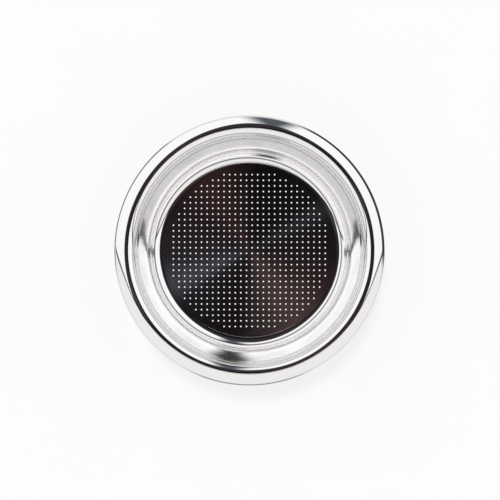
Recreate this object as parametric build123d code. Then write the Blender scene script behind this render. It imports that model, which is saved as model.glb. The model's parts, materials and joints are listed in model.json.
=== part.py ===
from build123d import *
import os
from math import atan2, ceil, degrees, isclose, tan

# Espresso filter basket, in millimetres: one drawn and pierced piece of stainless sheet.
# It stands on its pierced base with the mouth up. The origin is the middle of the base's
# underside, and +Z is the axis of the cup.

sheet = 0.7  # thickness of the sheet, the same all over

# The cup, measured on the inner face.
height = 24.0  # underside of the base to the crest of the rim
mouth_diameter = 58.8  # inside the straight collar
base_diameter = 53.0  # where the lines of the wall and the base would meet
corner_radius = 3.3  # between the base and the wall

# The rim, measured on the face that shows: the sheet turns out, then down to its cut edge.
lip_radius = 2.3
roll_radius = 3.3

# The ridge pressed in all round below the collar, for the spring of the filter holder.
ridge_drop = 7.0  # crest of the rim to the middle of the ridge
ridge_reach = 0.5  # how far it stands into the cup
ridge_width = 2.8
ridge_radius = 1.2  # every bend of the ridge

# The pierced field: a square grid over the flat of the base, with no hole on its centre lines.
hole_width = 0.37  # across the flats, for the open area of a round hole of 0.42
hole_pitch = 1.53
field_margin = 1.7  # edge of the flat to the centres of the outermost holes

mouth = mouth_diameter / 2
ridge_height = height - ridge_drop
ridge_foot = ridge_height - ridge_width / 2

# The wall leans out from the base to the foot of the ridge, and the corner turns into it.
wall_slope = atan2(ridge_foot - sheet, mouth - base_diameter / 2)
base_flat = base_diameter / 2 - corner_radius * tan(wall_slope / 2)


def side_section():
    """Half of the sheet's section from the edge of the flat base to the cut edge of the rim."""
    with BuildSketch(Plane.XZ) as section:
        with BuildLine():
            corner_start = Vector(base_flat, sheet)
            corner = JernArc(corner_start, (1, 0), corner_radius, degrees(wall_slope))
            wall = FilletPolyline(
                corner @ 1,
                (mouth, ridge_foot),
                (mouth - ridge_reach, ridge_height),
                (mouth, ridge_height + ridge_width / 2),
                (mouth, height - lip_radius),
                radius=ridge_radius,
            )
            lip = JernArc(wall @ 1, wall % 1, lip_radius, -90)
            JernArc(lip @ 1, lip % 1, roll_radius, -90)
            offset(amount=sheet, side=Side.RIGHT)
        make_face()
    return section.sketch


def hole_places():
    """The centres of the holes: the points of the grid that lie inside the round field."""
    field = base_flat - field_margin
    across = 2 * ceil(field / hole_pitch)
    grid = GridLocations(hole_pitch, hole_pitch, across, across)
    return [place for place in grid if place.position.length <= field]


def pierced_plate():
    """The flat of the base, with every hole through it."""
    hole = Wire.make_rect(hole_width, hole_width)
    holes = [hole.moved(place) for place in hole_places()]
    return Solid.extrude(Face(Wire.make_circle(base_flat), holes), Vector(0, 0, sheet))


def is_seam(face):
    """Whether a face is the round one where the plate and the side meet."""
    return face.geom_type == GeomType.CYLINDER and isclose(face.radius, base_flat)


def filter_basket():
    """The plate and the side as one solid: their faces close into a single skin at the seam."""
    side = revolve(side_section(), Axis.Z)
    skin = [face for face in side.faces() + pierced_plate().faces() if not is_seam(face)]
    return Solid(Shell(skin))


os.makedirs("parts", exist_ok=True)
export_step(filter_basket(), "parts/filter_basket.step")
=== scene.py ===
import json
import math
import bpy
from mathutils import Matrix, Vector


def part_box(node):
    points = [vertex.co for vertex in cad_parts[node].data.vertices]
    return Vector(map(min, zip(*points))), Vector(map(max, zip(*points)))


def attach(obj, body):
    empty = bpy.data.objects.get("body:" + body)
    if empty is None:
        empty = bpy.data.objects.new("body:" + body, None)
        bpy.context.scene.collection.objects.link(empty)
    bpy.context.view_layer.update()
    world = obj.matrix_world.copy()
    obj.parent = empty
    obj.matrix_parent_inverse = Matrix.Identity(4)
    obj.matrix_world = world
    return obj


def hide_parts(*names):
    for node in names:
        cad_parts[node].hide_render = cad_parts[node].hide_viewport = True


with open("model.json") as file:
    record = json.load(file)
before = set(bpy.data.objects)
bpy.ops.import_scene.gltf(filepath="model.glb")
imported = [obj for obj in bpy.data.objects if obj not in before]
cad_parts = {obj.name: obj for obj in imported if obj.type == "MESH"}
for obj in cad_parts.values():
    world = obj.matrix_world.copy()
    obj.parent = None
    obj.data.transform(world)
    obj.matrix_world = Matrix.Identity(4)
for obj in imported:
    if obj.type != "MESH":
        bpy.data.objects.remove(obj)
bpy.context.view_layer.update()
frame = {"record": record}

from types import SimpleNamespace

import bmesh
import bpy
from mathutils import Matrix, Vector
from mathutils.geometry import tessellate_polygon

MM = 0.001
NODE = "filter_basket"

# Sizes that the frame gives
mounts = {mount["name"]: mount for mount in frame["record"]["mounts"]}
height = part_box(NODE)[1].z
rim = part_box(NODE)[1].x
mouth = mounts["mouth"]["dims"]["r_mm"] * MM
sheet = mounts["collar"]["dims"]["r_mm"] * MM - mouth

# Sizes of the section, as in the solid
base_diameter = 53.0 * MM
corner_radius = 3.3 * MM
lip_radius = 2.3 * MM
roll_radius = rim - mouth - lip_radius
ridge_drop = 7.0 * MM
ridge_reach = 0.5 * MM
ridge_width = 2.8 * MM
ridge_radius = 1.2 * MM

edge_break = 0.1 * MM  # off the arrises of the cut edge, which the solid has plain

# The pierced field: the solid has flat-sided holes of the same open area
hole_radius = 0.21 * MM
hole_bevel = 0.015 * MM
hole_pitch = 1.53 * MM
field_margin = 1.7 * MM

# Steps of the mesh
AROUND = 288
ARC_STEP = math.radians(7.5)
CELL_STEPS = 4
HOLE_SIDES = 4 * CELL_STEPS
HOLE_START = -math.pi / 4  # a hole's first vertex faces the lower right corner of its cell
SHARP = math.radians(28)
CLOSE = 0.0001 * MM

ridge_height = height - ridge_drop
ridge_foot = ridge_height - ridge_width / 2
wall_slope = math.atan2(ridge_foot - sheet, mouth - base_diameter / 2)
base_flat = base_diameter / 2 - corner_radius * math.tan(wall_slope / 2)
field = base_flat - field_margin


# Section

def right_of(heading):
    return Vector((heading.y, -heading.x))


def turned(vector, angle):
    return Matrix.Rotation(angle, 2) @ vector


def rounded(corners, radii):
    """Points and right-hand normals along a line whose corners are rounded by arcs."""
    points = [(corners[0], right_of((corners[1] - corners[0]).normalized()))]
    for before, corner, after, radius in zip(corners, corners[1:], corners[2:], radii):
        into = (corner - before).normalized()
        away = (after - corner).normalized()
        turn = math.atan2(into.cross(away), into.dot(away))
        side = math.copysign(1, turn)
        start = corner - into * radius * math.tan(abs(turn) / 2)
        centre = start - right_of(into) * side * radius
        steps = max(2, math.ceil(abs(turn) / ARC_STEP))
        for i in range(steps + 1):
            normal = turned(right_of(into), turn * i / steps)
            points.append((centre + normal * side * radius, normal))
    points.append((corners[-1], right_of((corners[-1] - corners[-2]).normalized())))
    later = [b for a, b in zip(points, points[1:]) if (a[0] - b[0]).length > CLOSE]
    return points[:1] + later


def face_line():
    """The inner face from the edge of the flat base to the cut edge of the rim."""
    corners = [
        Vector((0, sheet)),
        Vector((base_diameter / 2, sheet)),
        Vector((mouth, ridge_foot)),
        Vector((mouth - ridge_reach, ridge_height)),
        Vector((mouth, ridge_height + ridge_width / 2)),
        Vector((mouth, height)),
        Vector((rim, height)),
        Vector((rim, height - roll_radius)),
    ]
    radii = [corner_radius, ridge_radius, ridge_radius, ridge_radius, lip_radius, roll_radius]
    return rounded(corners, radii)[1:]


def section():
    """Both faces of the sheet, joined at its cut edge, whose arrises are broken."""
    line = face_line()
    inner = [point for point, normal in line]
    outer = [point + normal * sheet for point, normal in line]
    end, normal = line[-1]
    lift = Vector((0, edge_break))
    inner[-1] = end + lift
    outer[-1] = outer[-1] + lift
    edge = [end + normal * edge_break, end + normal * (sheet - edge_break)]
    return inner + edge + outer[::-1]


# Mesh

def circle_of(bm, centre, radius, count, start=0.0):
    """Vertices round a level circle."""
    turns = [start + math.tau * i / count for i in range(count)]
    offsets = [Vector((math.cos(a), math.sin(a), 0)) * radius for a in turns]
    return [bm.verts.new(centre + offset) for offset in offsets]


def bridge(bm, low, high):
    """Faces between two closed rows of vertices, turned to the right of a walk from low to high."""
    count = len(low)
    for i in range(count):
        j = (i + 1) % count
        bm.faces.new((low[i], low[j], high[j], high[i]))


def cells():
    """The grid's cells that hold a hole, by column and row either side of the centre lines."""
    reach = math.ceil(field / hole_pitch)
    spots = [(i, j) for i in range(-reach, reach) for j in range(-reach, reach)]
    return [(i, j) for i, j in spots if math.hypot(i + 0.5, j + 0.5) * hole_pitch <= field]


def border_keys(i, j):
    """Places round a cell from its lower right corner, as many as a hole has sides."""
    ends = [(1, 0), (1, 1), (0, 1), (0, 0)]
    keys = []
    for a, b in zip(ends, ends[1:] + ends[:1]):
        for n in range(CELL_STEPS):
            key_x = (i + a[0]) * CELL_STEPS + (b[0] - a[0]) * n
            key_y = (j + a[1]) * CELL_STEPS + (b[1] - a[1]) * n
            keys.append((key_x, key_y))
    return keys


def cell_outline(bm, i, j, level, border):
    """The vertices round a cell. Cells side by side share theirs, which border holds by place."""
    keys = border_keys(i, j)
    for key in keys:
        if key not in border:
            place = Vector((*key, 0)) * hole_pitch / CELL_STEPS
            border[key] = bm.verts.new(place + Vector((0, 0, level)))
    return [border[key] for key in keys]


def pierced_face(bm, level, up, loop):
    """One side of the flat base: a square cell round each hole, and a bare ring outside."""
    inset = Vector((0, 0, -hole_bevel if up else hole_bevel))
    border = {}
    rings = {}
    for i, j in cells():
        outline = cell_outline(bm, i, j, level, border)
        centre = Vector(((i + 0.5) * hole_pitch, (j + 0.5) * hole_pitch, level))
        mouth_ring = circle_of(bm, centre, hole_radius + hole_bevel, HOLE_SIDES, HOLE_START)
        ring = circle_of(bm, centre + inset, hole_radius, HOLE_SIDES, HOLE_START)
        for outside, inside in ((outline, mouth_ring), (mouth_ring, ring)):
            if up:
                bridge(bm, outside, inside)
            else:
                bridge(bm, inside, outside)
        rings[i, j] = ring
    fill_between(bm, loop, outer_walk(border.values()), up)
    return rings


def outer_walk(vertices):
    """The vertices of the stepped line round all the cells, in order."""
    own = set(vertices)
    near = {}
    for vertex in own:
        for edge in vertex.link_edges:
            other = edge.other_vert(vertex)
            if edge.is_boundary and other in own:
                near.setdefault(vertex, []).append(other)
    start = min(near, key=lambda vertex: (vertex.co.x, vertex.co.y))
    order = [start, near[start][0]]
    while order[-1] is not start:
        ahead = [vertex for vertex in near[order[-1]] if vertex is not order[-2]]
        order.append(ahead[0])
    return order[:-1]


def fill_between(bm, outside, inside, up):
    """Flat faces between a closed line and the closed line within it."""
    lines = [[vertex.co for vertex in outside], [vertex.co for vertex in inside]]
    vertices = outside + inside
    for corners in tessellate_polygon(lines):
        face = bm.faces.new([vertices[corner] for corner in corners])
        face.normal_update()
        if (face.normal.z > 0) != up:
            face.normal_flip()


def basket_mesh():
    """The whole sheet as one skin. The side's faces turn into the sheet, and the flat's out of it."""
    bm = bmesh.new()
    rings = [circle_of(bm, Vector((0, 0, point.y)), point.x, AROUND) for point in section()]
    for low, high in zip(rings, rings[1:]):
        bridge(bm, low, high)
    top = pierced_face(bm, sheet, True, rings[0])
    bottom = pierced_face(bm, 0.0, False, rings[-1])
    for place, ring in top.items():
        bridge(bm, ring, bottom[place])
    bm.normal_update()
    for face in bm.faces:
        face.smooth = True
    for edge in bm.edges:
        if edge.calc_face_angle() > SHARP:
            edge.smooth = False
    mesh = bpy.data.meshes.new("basket_sheet")
    bm.to_mesh(mesh)
    bm.free()
    return mesh


def in_scene(name, data):
    """A new object in the scene."""
    made = bpy.data.objects.new(name, data)
    bpy.context.scene.collection.objects.link(made)
    return made


# Node trees

class Tree:
    """A short way to write a node tree."""

    def __init__(self, owner):
        owner.use_nodes = True
        self.tree = owner.node_tree
        self.tree.nodes.clear()

    def put(self, socket, value):
        if isinstance(value, bpy.types.NodeSocket):
            self.tree.links.new(value, socket)
        else:
            socket.default_value = value

    def node(self, kind, settings=None, **inputs):
        made = self.tree.nodes.new(kind)
        for key, value in (settings or {}).items():
            setattr(made, key, value)
        for key, value in inputs.items():
            self.put(made.inputs[key.replace("_", " ")], value)
        return made

    def fill(self, sockets, values):
        for socket, value in zip(sockets, values):
            self.put(socket, value)

    def math(self, operation, *values):
        made = self.node("ShaderNodeMath", {"operation": operation})
        self.fill(made.inputs, values)
        return made.outputs[0]

    def add(self, first, *others):
        for other in others:
            first = self.math("ADD", first, other)
        return first

    def times(self, first, *others):
        for other in others:
            first = self.math("MULTIPLY", first, other)
        return first

    def length(self, across, along):
        """How long a line is that runs this far across and along."""
        return self.math("SQRT", self.add(self.times(across, across), self.times(along, along)))

    def step(self, value, start, end):
        """0 at start and 1 at end, with a soft change between them. Either may be the larger."""
        made = self.node("ShaderNodeMapRange", {"interpolation_type": "SMOOTHSTEP"}, Value=value)
        self.put(made.inputs["From Min"], start)
        self.put(made.inputs["From Max"], end)
        return made.outputs[0]

    def within(self, value, middle, reach, soft):
        """1 where a value is nearer to the middle than reach, with a soft edge."""
        away = self.math("ABSOLUTE", self.math("SUBTRACT", value, middle))
        return self.step(self.math("SUBTRACT", away, reach), soft, -soft)

    def between(self, amount, low, high):
        """A number from low at 0 to high at 1."""
        made = self.node("ShaderNodeMix", {"data_type": "FLOAT"})
        self.fill(made.inputs[:1] + made.inputs[2:4], (amount, low, high))
        return made.outputs[0]

    def blend(self, amount, low, high):
        """A colour from low at 0 to high at 1."""
        made = self.node("ShaderNodeMix", {"data_type": "RGBA"})
        self.fill(made.inputs[:1] + made.inputs[6:8], (amount, low, high))
        return made.outputs[2]

    def mix(self, amount, low, high):
        """A shader from low at 0 to high at 1."""
        made = self.node("ShaderNodeMixShader")
        self.fill(made.inputs, (amount, low, high))
        return made.outputs[0]


# Steel

# Fine lines and broad bands run round the axis: the width of one, and how much it changes on
# its way round. Smudges lie over them.
LINE_WIDTH = 0.16 * MM
LINE_CHANGE = 5.0
BAND_WIDTH = 1.1 * MM
BAND_CHANGE = 1.6
SPUN_NOISE = {"Scale": 1.0, "Detail": 2.0, "Roughness": 0.6}
SMUDGE_NOISE = {"Scale": 95.0, "Detail": 3.0}

# Heights where the finish of the rim, of the base and of its flat starts and is whole
RIM_FINISH = (height - 4.0 * MM, height - 1.6 * MM)
BASE_FINISH = (3.0 * MM, 1.6 * MM)
FLAT_FINISH = (0.75 * MM, 0.71 * MM)

# Roughness: what the lines and the smudges add, and the least of it
WALL_ROUGH = (0.06, 0.04, 0.05)
BASE_ROUGH = (0.02, 0.02, 0.025)
RIM_ROUGH = (0.0, 0.03, 0.035)

# Relief of the lines and bands, and a shallow groove round the flat of the base
LINE_RELIEF = 0.6
BAND_RELIEF = 0.8
WALL_RELIEF = 0.5
BASE_RELIEF = 0.15
GROOVE_RELIEF = -1.5
GROOVE_OUT = base_flat - 0.1 * MM
GROOVE_HALF = 0.09 * MM
GROOVE_SOFT = 0.03 * MM
GROOVE_TOP = (1.5 * MM, 1.2 * MM)
BUMP_STRENGTH = 0.2
BUMP_DEPTH = 0.01 * MM

BAND_COLOURS = ((0.84, 0.83, 0.82, 1), (0.91, 0.905, 0.90, 1))
# The colour of the steel's own dark lines, and of the painted shade and painted dark reflection rings
LINE_AND_SHADE_COLOUR = (0.20, 0.19, 0.19, 1)
# Some of the lines are dark on the flat of the base: the noise where they start and are whole
DARK_LINES = (0.62, 0.35)
DARK_LINES_STRENGTH = 0.4

# Faint dark rings painted on the ridge and the lip, as painted shade and painted dark reflections:
# distance from the axis, height, reach, strength
PAINTED_SHADE_RINGS = [
    (29.10 * MM, 17.75 * MM, 0.50 * MM, 0.35),
    (29.60 * MM, 22.60 * MM, 0.70 * MM, 0.22),
    (30.20 * MM, 23.44 * MM, 0.16 * MM, 0.65),
]
SHADE_RING_EDGE = (1.3, 0.7)  # in reaches from its middle

# A sharper dark ring painted on the corner, a little off the axis, as a painted dark reflection
CORNER_SHADE_RADIUS = 25.42 * MM
CORNER_SHADE_CENTRE = (-0.3 * MM, -0.2 * MM)
CORNER_SHADE_HALF = 0.19 * MM
CORNER_SHADE_SOFT = 0.06 * MM
CORNER_SHADE_FOOT = (0.85 * MM, 0.93 * MM)
CORNER_SHADE_STRENGTH = 0.92

ANISOTROPY = 0.75
QUARTER_TURN = 0.25  # it lays the stretch of the highlights across the lines


def spun(t, at, width, change):
    """Noise in rings about the axis."""
    across = t.math("DIVIDE", at.out, width)
    up = t.math("DIVIDE", at.z, width)
    round_x = t.times(t.math("DIVIDE", at.x, at.out), change)
    round_y = t.times(t.math("DIVIDE", at.y, at.out), change)
    where = t.node("ShaderNodeCombineXYZ", X=across, Y=up, Z=round_x).outputs[0]
    noise = t.node(
        "ShaderNodeTexNoise", {"noise_dimensions": "4D"}, Vector=where, W=round_y, **SPUN_NOISE
    )
    return noise.outputs["Fac"]


def rough(t, lines, smudges, from_lines, from_smudges, least):
    return t.add(t.times(lines, from_lines), t.times(smudges, from_smudges), least)


def roughness(t, at, lines, smudges):
    """Satin on the wall, and polished on the base and the rim."""
    wall = rough(t, lines, smudges, *WALL_ROUGH)
    base = rough(t, lines, smudges, *BASE_ROUGH)
    roll = rough(t, lines, smudges, *RIM_ROUGH)
    below = t.between(t.step(at.z, *BASE_FINISH), wall, base)
    return t.between(t.step(at.z, *RIM_FINISH), below, roll)


def relief(t, at, lines, bands):
    """The lines and bands, shallower on the base, and the groove."""
    depth = t.between(t.step(at.z, *BASE_FINISH), WALL_RELIEF, BASE_RELIEF)
    rings = t.times(t.add(t.times(lines, LINE_RELIEF), t.times(bands, BAND_RELIEF)), depth)
    groove = t.within(at.out, GROOVE_OUT, GROOVE_HALF, GROOVE_SOFT)
    groove = t.times(groove, t.step(at.z, *GROOVE_TOP), GROOVE_RELIEF)
    return t.add(rings, groove)


def painted_corner_shade(t, at):
    """How much of the painted dark ring on the corner lies at a place."""
    off_x = t.add(at.x, -CORNER_SHADE_CENTRE[0])
    off_y = t.add(at.y, -CORNER_SHADE_CENTRE[1])
    ring = t.within(t.length(off_x, off_y), CORNER_SHADE_RADIUS, CORNER_SHADE_HALF, CORNER_SHADE_SOFT)
    return t.times(ring, t.step(at.z, *CORNER_SHADE_FOOT), CORNER_SHADE_STRENGTH)


def painted_shade_ring(t, at, out, level, reach, strength):
    """How much of a painted shade ring lies at a place."""
    away = t.length(t.math("SUBTRACT", at.out, out), t.math("SUBTRACT", at.z, level))
    return t.times(t.step(away, *(reach * edge for edge in SHADE_RING_EDGE)), strength)


def tint(t, at, lines, bands):
    """Grey that changes from band to band, with the dark lines and the painted shade rings over it."""
    on_flat = t.step(at.z, *FLAT_FINISH)
    lines_and_shade = [t.times(on_flat, t.step(lines, *DARK_LINES), DARK_LINES_STRENGTH), painted_corner_shade(t, at)]
    lines_and_shade += [painted_shade_ring(t, at, *darkening) for darkening in PAINTED_SHADE_RINGS]
    colour = t.blend(bands, *BAND_COLOURS)
    for darkening in lines_and_shade:
        colour = t.blend(darkening, colour, LINE_AND_SHADE_COLOUR)
    return colour


def steel():
    """Drawn stainless sheet: fine spun lines all round, a satin wall, a polished base and rim."""
    material = bpy.data.materials.new("stainless_sheet")
    t = Tree(material)
    place = t.node("ShaderNodeTexCoord").outputs["Object"]
    x, y, z = t.node("ShaderNodeSeparateXYZ", Vector=place).outputs
    at = SimpleNamespace(x=x, y=y, z=z, out=t.length(x, y))
    lines = spun(t, at, LINE_WIDTH, LINE_CHANGE)
    bands = spun(t, at, BAND_WIDTH, BAND_CHANGE)
    smudges = t.node("ShaderNodeTexNoise", Vector=place, **SMUDGE_NOISE).outputs["Fac"]
    bump = t.node("ShaderNodeBump", Strength=BUMP_STRENGTH, Distance=BUMP_DEPTH)
    t.put(bump.inputs["Height"], relief(t, at, lines, bands))
    tangent = t.node("ShaderNodeTangent", {"direction_type": "RADIAL", "axis": "Z"})
    shader = t.node(
        "ShaderNodeBsdfPrincipled",
        Base_Color=tint(t, at, lines, bands), Roughness=roughness(t, at, lines, smudges),
        Normal=bump.outputs[0], Tangent=tangent.outputs[0],
        Metallic=1.0, Anisotropic=ANISOTROPY, Anisotropic_Rotation=QUARTER_TURN,
    )
    t.node("ShaderNodeOutputMaterial", Surface=shader.outputs[0])
    return material


# Floor

PAPER = (0.975, 0.975, 0.975, 1)
PAPER_SHARE = 0.71  # what the camera sees of the floor is mostly plain white, and part shadow
FLOOR_COLOURS = ((0.83, 0.83, 0.83, 1), (0.86, 0.86, 0.86, 1))
FLOOR_NOISE = {"Scale": 40.0, "Detail": 3.0}
FLOOR_HALF = 1.5
FLOOR_DROP = 0.01 * MM


def floor_material():
    """White floor that keeps a faint shadow. The steel mirrors the studio, not the floor."""
    material = bpy.data.materials.new("white_floor")
    t = Tree(material)
    place = t.node("ShaderNodeTexCoord").outputs["Object"]
    grain = t.node("ShaderNodeTexNoise", Vector=place, **FLOOR_NOISE).outputs["Fac"]
    matt = t.node("ShaderNodeBsdfDiffuse", Color=t.blend(grain, *FLOOR_COLOURS)).outputs[0]
    white = t.node("ShaderNodeEmission", Color=PAPER).outputs[0]
    clear = t.node("ShaderNodeBsdfTransparent").outputs[0]
    away = t.node("ShaderNodeVectorMath", {"operation": "LENGTH"})
    t.put(away.inputs[0], place)
    through_holes = t.step(away.outputs["Value"], base_diameter / 2, base_flat)
    share = t.between(through_holes, PAPER_SHARE, 1.0)
    ray = t.node("ShaderNodeLightPath")
    seen = t.mix(t.times(ray.outputs["Is Camera Ray"], share), matt, white)
    mirrored = t.mix(ray.outputs["Is Glossy Ray"], seen, clear)
    t.node("ShaderNodeOutputMaterial", Surface=mirrored)
    return material


def floor():
    """A level square a hair below the base, so that their faces don't meet."""
    mesh = bpy.data.meshes.new("white_floor")
    bm = bmesh.new()
    bmesh.ops.create_grid(bm, x_segments=1, y_segments=1, size=FLOOR_HALF)
    bm.to_mesh(mesh)
    bm.free()
    mesh.materials.append(floor_material())
    made = in_scene("white_floor", mesh)
    made.location.z = -FLOOR_DROP


# Studio

# It goes by direction from the basket: x to the right, y up the picture, z to the lens. Aside
# is x over y, and back is z over y. A pair of numbers says where a thing starts and where it is
# whole. In the cup means what the steel mirrors by way of other steel.
ONE_BOUNCE = 2.5  # a ray has a depth of 2 at the world after one bounce, and 3 after two
TWO_BOUNCES = 3.5

# A bright backdrop over a white table, with a dark gap between them
BACKDROP = (1.09, 1.09, 1.10, 1)
TABLE = (0.955, 0.95, 0.945, 1)
BACKDROP_IN_CUP = (1.35, 1.35, 1.37, 1)
TABLE_IN_CUP = (0.90, 0.895, 0.905, 1)
TABLE_END_IN_CUP = (0.72, 0.55)  # by z: below that it is as bright as the backdrop
HORIZON_LEAN = 0.136
HORIZON_DROP = 0.055
HORIZON_LIFT_IN_CUP = 0.1
HORIZON_GAP = 0.022
GAP_IN_CUP = 0.034
GAP_SOFT = 0.008
GAP_COLOUR = (0.10, 0.09, 0.10, 1)

# The floor behind the basket, by z
FLOOR_SHADE = (0.81, 0.81, 0.82, 1)
FLOOR_START = (-0.4, -0.62)

# A dark boom runs overhead from the lens, narrowest at its waist
BOOM_SIDE = 0.185
BOOM_HALF = 0.09
BOOM_WAIST = 1.0
BOOM_SPREAD = 0.07
BOOM_REACH = 1.6
BOOM_EDGE = (0.11, -0.08)
BOOM_END = (-0.8, -0.35)
BOOM_LEVEL = (0.02, 0.08)
BOOM_COLOUR = (0.10, 0.112, 0.135, 1)
BOOM_IN_CUP = (0.045, 0.042, 0.047, 1)
BOOM_DEEP = 0.5  # what is left of it after three bounces or more

# Dark places behind the basket, either side of an opening
BEHIND_COLOUR = (0.04, 0.04, 0.05, 1)
BEHIND_LEAN = 0.29
BEHIND_START = (-0.46, -0.58)
BEHIND_LEVEL = (-0.14, 0.0)
OPENING_SIDE = -0.15
OPENING_EDGE = (0.45, 0.7)

# A grey place behind it, low in the picture
UNDER_COLOUR = (0.25, 0.25, 0.25, 1)
UNDER_START = (-0.55, -0.75)
UNDER_LEVEL = (0.0, -0.1)
UNDER_EDGE = (0.6, 0.3)

# The lens and what is round it, in degrees: straight sides, a pointed top and a white notch below
LENS_SIDE = -1.2
LENS_WIDE = 21.0
LENS_SHOULDER = 8.5
LENS_TALL = 33.0
LENS_POINT = 1.5
LENS_SOFT = 0.06
LENS_IN_CUP = (15.5, 12.5)
NOTCH_DROP = 6.5
NOTCH_SLOPE = 0.35
NOTCH_EDGE = (-1.0, 1.0)
LENS_AIM = (0.2, 0.15)
LENS_FACE = (6.0, 15.0)
LENS_RIM_COLOUR = (0.036, 0.033, 0.037, 1)
# Glints round the lens's face, by the turn from the right to the top and on
FULL_TURN = 360
LENS_COLOURS = [
    (0, (0.014, 0.010, 0.011, 1)),
    (20, (0.012, 0.011, 0.013, 1)),
    (28, (0.034, 0.035, 0.041, 1)),
    (38, (0.009, 0.008, 0.010, 1)),
    (85, (0.006, 0.005, 0.007, 1)),
    (102, (0.022, 0.013, 0.014, 1)),
    (120, (0.040, 0.020, 0.021, 1)),
    (150, (0.018, 0.012, 0.014, 1)),
    (185, (0.024, 0.021, 0.026, 1)),
    (205, (0.074, 0.074, 0.088, 1)),
    (217, (0.016, 0.014, 0.018, 1)),
    (262, (0.008, 0.006, 0.008, 1)),
    (282, (0.045, 0.033, 0.034, 1)),
    (303, (0.085, 0.052, 0.052, 1)),
    (335, (0.032, 0.020, 0.021, 1)),
    (FULL_TURN, (0.014, 0.010, 0.011, 1)),
]


def backdrop(t, way):
    """The backdrop over the table, and the gap between them."""
    drop = t.between(way.first, HORIZON_DROP - HORIZON_LIFT_IN_CUP, HORIZON_DROP)
    over = t.add(way.y, t.times(way.z, HORIZON_LEAN), drop)
    bright = t.math("MAXIMUM", t.step(way.z, *TABLE_END_IN_CUP), way.deep)
    table_in_cup = t.blend(bright, TABLE_IN_CUP, BACKDROP_IN_CUP)
    below = t.blend(way.first, table_in_cup, TABLE)
    above = t.blend(way.first, BACKDROP_IN_CUP, BACKDROP)
    colour = t.blend(t.step(over, -HORIZON_GAP, HORIZON_GAP), below, above)
    gap = t.between(way.first, GAP_IN_CUP, HORIZON_GAP)
    return t.blend(t.within(over, 0.0, gap, GAP_SOFT), colour, GAP_COLOUR)


def boom(t, way):
    """How much of the boom lies in a direction."""
    spread = t.math("MINIMUM", t.math("ABSOLUTE", t.add(way.back, -BOOM_WAIST)), BOOM_REACH)
    half = t.add(t.times(spread, BOOM_SPREAD), BOOM_HALF)
    off = t.math("SUBTRACT", t.math("ABSOLUTE", t.add(way.aside, -BOOM_SIDE)), half)
    ends = t.times(t.step(way.back, *BOOM_END), t.step(way.y, *BOOM_LEVEL))
    return t.times(t.step(off, *BOOM_EDGE), ends, t.between(way.deep, 1.0, BOOM_DEEP))


def behind(t, way):
    """How much of the dark places behind the basket lies in a direction."""
    far = t.step(t.add(way.z, t.times(way.x, -BEHIND_LEAN)), *BEHIND_START)
    off = t.math("ABSOLUTE", t.add(way.aside, -OPENING_SIDE))
    return t.times(far, t.step(way.y, *BEHIND_LEVEL), t.step(off, *OPENING_EDGE))


def under(t, way):
    """How much of the grey place behind the basket lies in a direction."""
    low = t.times(t.step(way.z, *UNDER_START), t.step(way.y, *UNDER_LEVEL))
    return t.times(low, t.step(t.math("ABSOLUTE", way.aside), *UNDER_EDGE))


def lens_outline(t, side, ahead):
    """1 inside the lens's outline, by degrees to the right and up the picture."""
    wide = t.math("DIVIDE", t.math("ABSOLUTE", t.add(side, -LENS_SIDE)), LENS_WIDE)
    tall = t.math("DIVIDE", t.math("MAXIMUM", t.add(ahead, -LENS_SHOULDER), 0.0), LENS_TALL)
    oval = t.add(t.math("POWER", wide, LENS_POINT), t.math("POWER", tall, LENS_POINT))
    notch = t.add(ahead, t.times(t.math("ABSOLUTE", side), NOTCH_SLOPE), NOTCH_DROP)
    return t.times(t.step(oval, 1 + LENS_SOFT, 1 - LENS_SOFT), t.step(notch, *NOTCH_EDGE))


def lens_glints(t, side, ahead):
    """The colours round the lens's face."""
    turn = t.math("ARCTAN2", t.add(ahead, -LENS_AIM[1]), t.add(side, -LENS_AIM[0]))
    ramp = t.node("ShaderNodeValToRGB", Fac=t.math("FRACT", t.math("DIVIDE", turn, math.tau)))
    stops = ramp.color_ramp.elements
    stops[0].color = LENS_COLOURS[0][1]
    stops[1].color = LENS_COLOURS[-1][1]
    for degrees, colour in LENS_COLOURS[1:-1]:
        stops.new(degrees / FULL_TURN).color = colour
    return ramp.outputs["Color"]


def lens(t, way):
    """How much of the lens lies in a direction, and its colour there."""
    side = t.math("DEGREES", t.math("ARCTAN2", way.x, way.z))
    ahead = t.math("DEGREES", t.math("ARCTAN2", way.y, way.z))
    away = t.length(side, ahead)
    outline = t.between(way.first, t.step(away, *LENS_IN_CUP), lens_outline(t, side, ahead))
    here = t.times(outline, t.math("GREATER_THAN", way.z, 0.0))
    return here, t.blend(t.step(away, *LENS_FACE), lens_glints(t, side, ahead), LENS_RIM_COLOUR)


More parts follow.
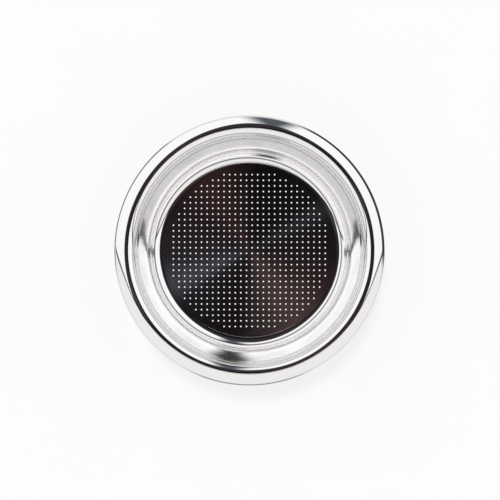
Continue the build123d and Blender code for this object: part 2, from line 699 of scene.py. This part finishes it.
def studio():
    """What the steel mirrors. The camera itself sees plain white round the basket."""
    world = bpy.data.worlds.new("studio")
    bpy.context.scene.world = world
    t = Tree(world)
    direction = t.node("ShaderNodeTexCoord").outputs["Generated"]
    x, y, z = t.node("ShaderNodeSeparateXYZ", Vector=direction).outputs
    ray = t.node("ShaderNodeLightPath")
    way = SimpleNamespace(x=x, y=y, z=z)
    way.aside = t.math("DIVIDE", x, y)
    way.back = t.math("DIVIDE", z, y)
    way.first = t.math("LESS_THAN", ray.outputs["Ray Depth"], ONE_BOUNCE)
    way.deep = t.math("GREATER_THAN", ray.outputs["Ray Depth"], TWO_BOUNCES)

    colour = t.blend(t.step(z, *FLOOR_START), backdrop(t, way), FLOOR_SHADE)
    colour = t.blend(boom(t, way), colour, t.blend(way.first, BOOM_IN_CUP, BOOM_COLOUR))
    colour = t.blend(behind(t, way), colour, BEHIND_COLOUR)
    colour = t.blend(under(t, way), colour, UNDER_COLOUR)
    here, lens_colour = lens(t, way)
    colour = t.blend(here, colour, lens_colour)
    colour = t.blend(ray.outputs["Is Camera Ray"], colour, PAPER)
    shade = t.node("ShaderNodeBackground", Color=colour, Strength=1.0)
    t.node("ShaderNodeOutputWorld", Surface=shade.outputs[0])


# Lamp

SUN_WAY = (0.08, -0.26, -1.0)
SUN_LEVEL = 1.2
SUN_SOFT = math.radians(9)


def sun():
    """A soft lamp from over the picture's top. It lights the floor, but the steel doesn't mirror it."""
    light = bpy.data.lights.new("sun", "SUN")
    light.energy = SUN_LEVEL
    light.angle = SUN_SOFT
    made = in_scene("sun", light)
    made.rotation_euler = Vector(SUN_WAY).to_track_quat("-Z", "Y").to_euler()
    made.visible_glossy = False


# The photograph's view: straight into the mouth, with the picture's top towards +Y

PHOTO_SIZE = 500
RIM_RADIUS_PX = 135.0
RIM_CENTRE_PX = (249.05, 249.86)
MIDDLE_PX = 249.5
CAMERA_HEIGHT = 400 * MM
CAMERA_ASIDE = (-1.3 * MM, -1.0 * MM)
SENSOR = 36.0
NEAR_CLIP = 10 * MM
FAR_CLIP = 20.0


def camera():
    """A camera above the rim, turned so that the rim lies where the photograph has it."""
    data = bpy.data.cameras.new("camera")
    made = in_scene("camera", data)
    bpy.context.scene.camera = made
    pixel = rim / RIM_RADIUS_PX
    middle = Vector((0, 0, height - roll_radius))
    stand = Vector((*CAMERA_ASIDE, height + CAMERA_HEIGHT))
    data.sensor_width = SENSOR
    data.lens = SENSOR * (stand - middle).length / (pixel * PHOTO_SIZE)
    data.clip_start = NEAR_CLIP
    data.clip_end = FAR_CLIP
    right_px = MIDDLE_PX - RIM_CENTRE_PX[0]
    up_px = RIM_CENTRE_PX[1] - MIDDLE_PX
    aim = middle + Vector((right_px, up_px, 0)) * pixel
    ahead = (aim - stand).normalized()
    right = ahead.cross(Vector((0, 1, 0))).normalized()
    up = right.cross(ahead)
    turn = Matrix((right, up, -ahead)).transposed()
    made.matrix_world = Matrix.Translation(stand) @ turn.to_4x4()


camera()
floor()
studio()
sun()
basket = in_scene("basket_sheet", basket_mesh())
basket.data.materials.append(steel())
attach(basket, "root")
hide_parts(NODE)

bpy.context.scene.view_settings.view_transform = "Standard"
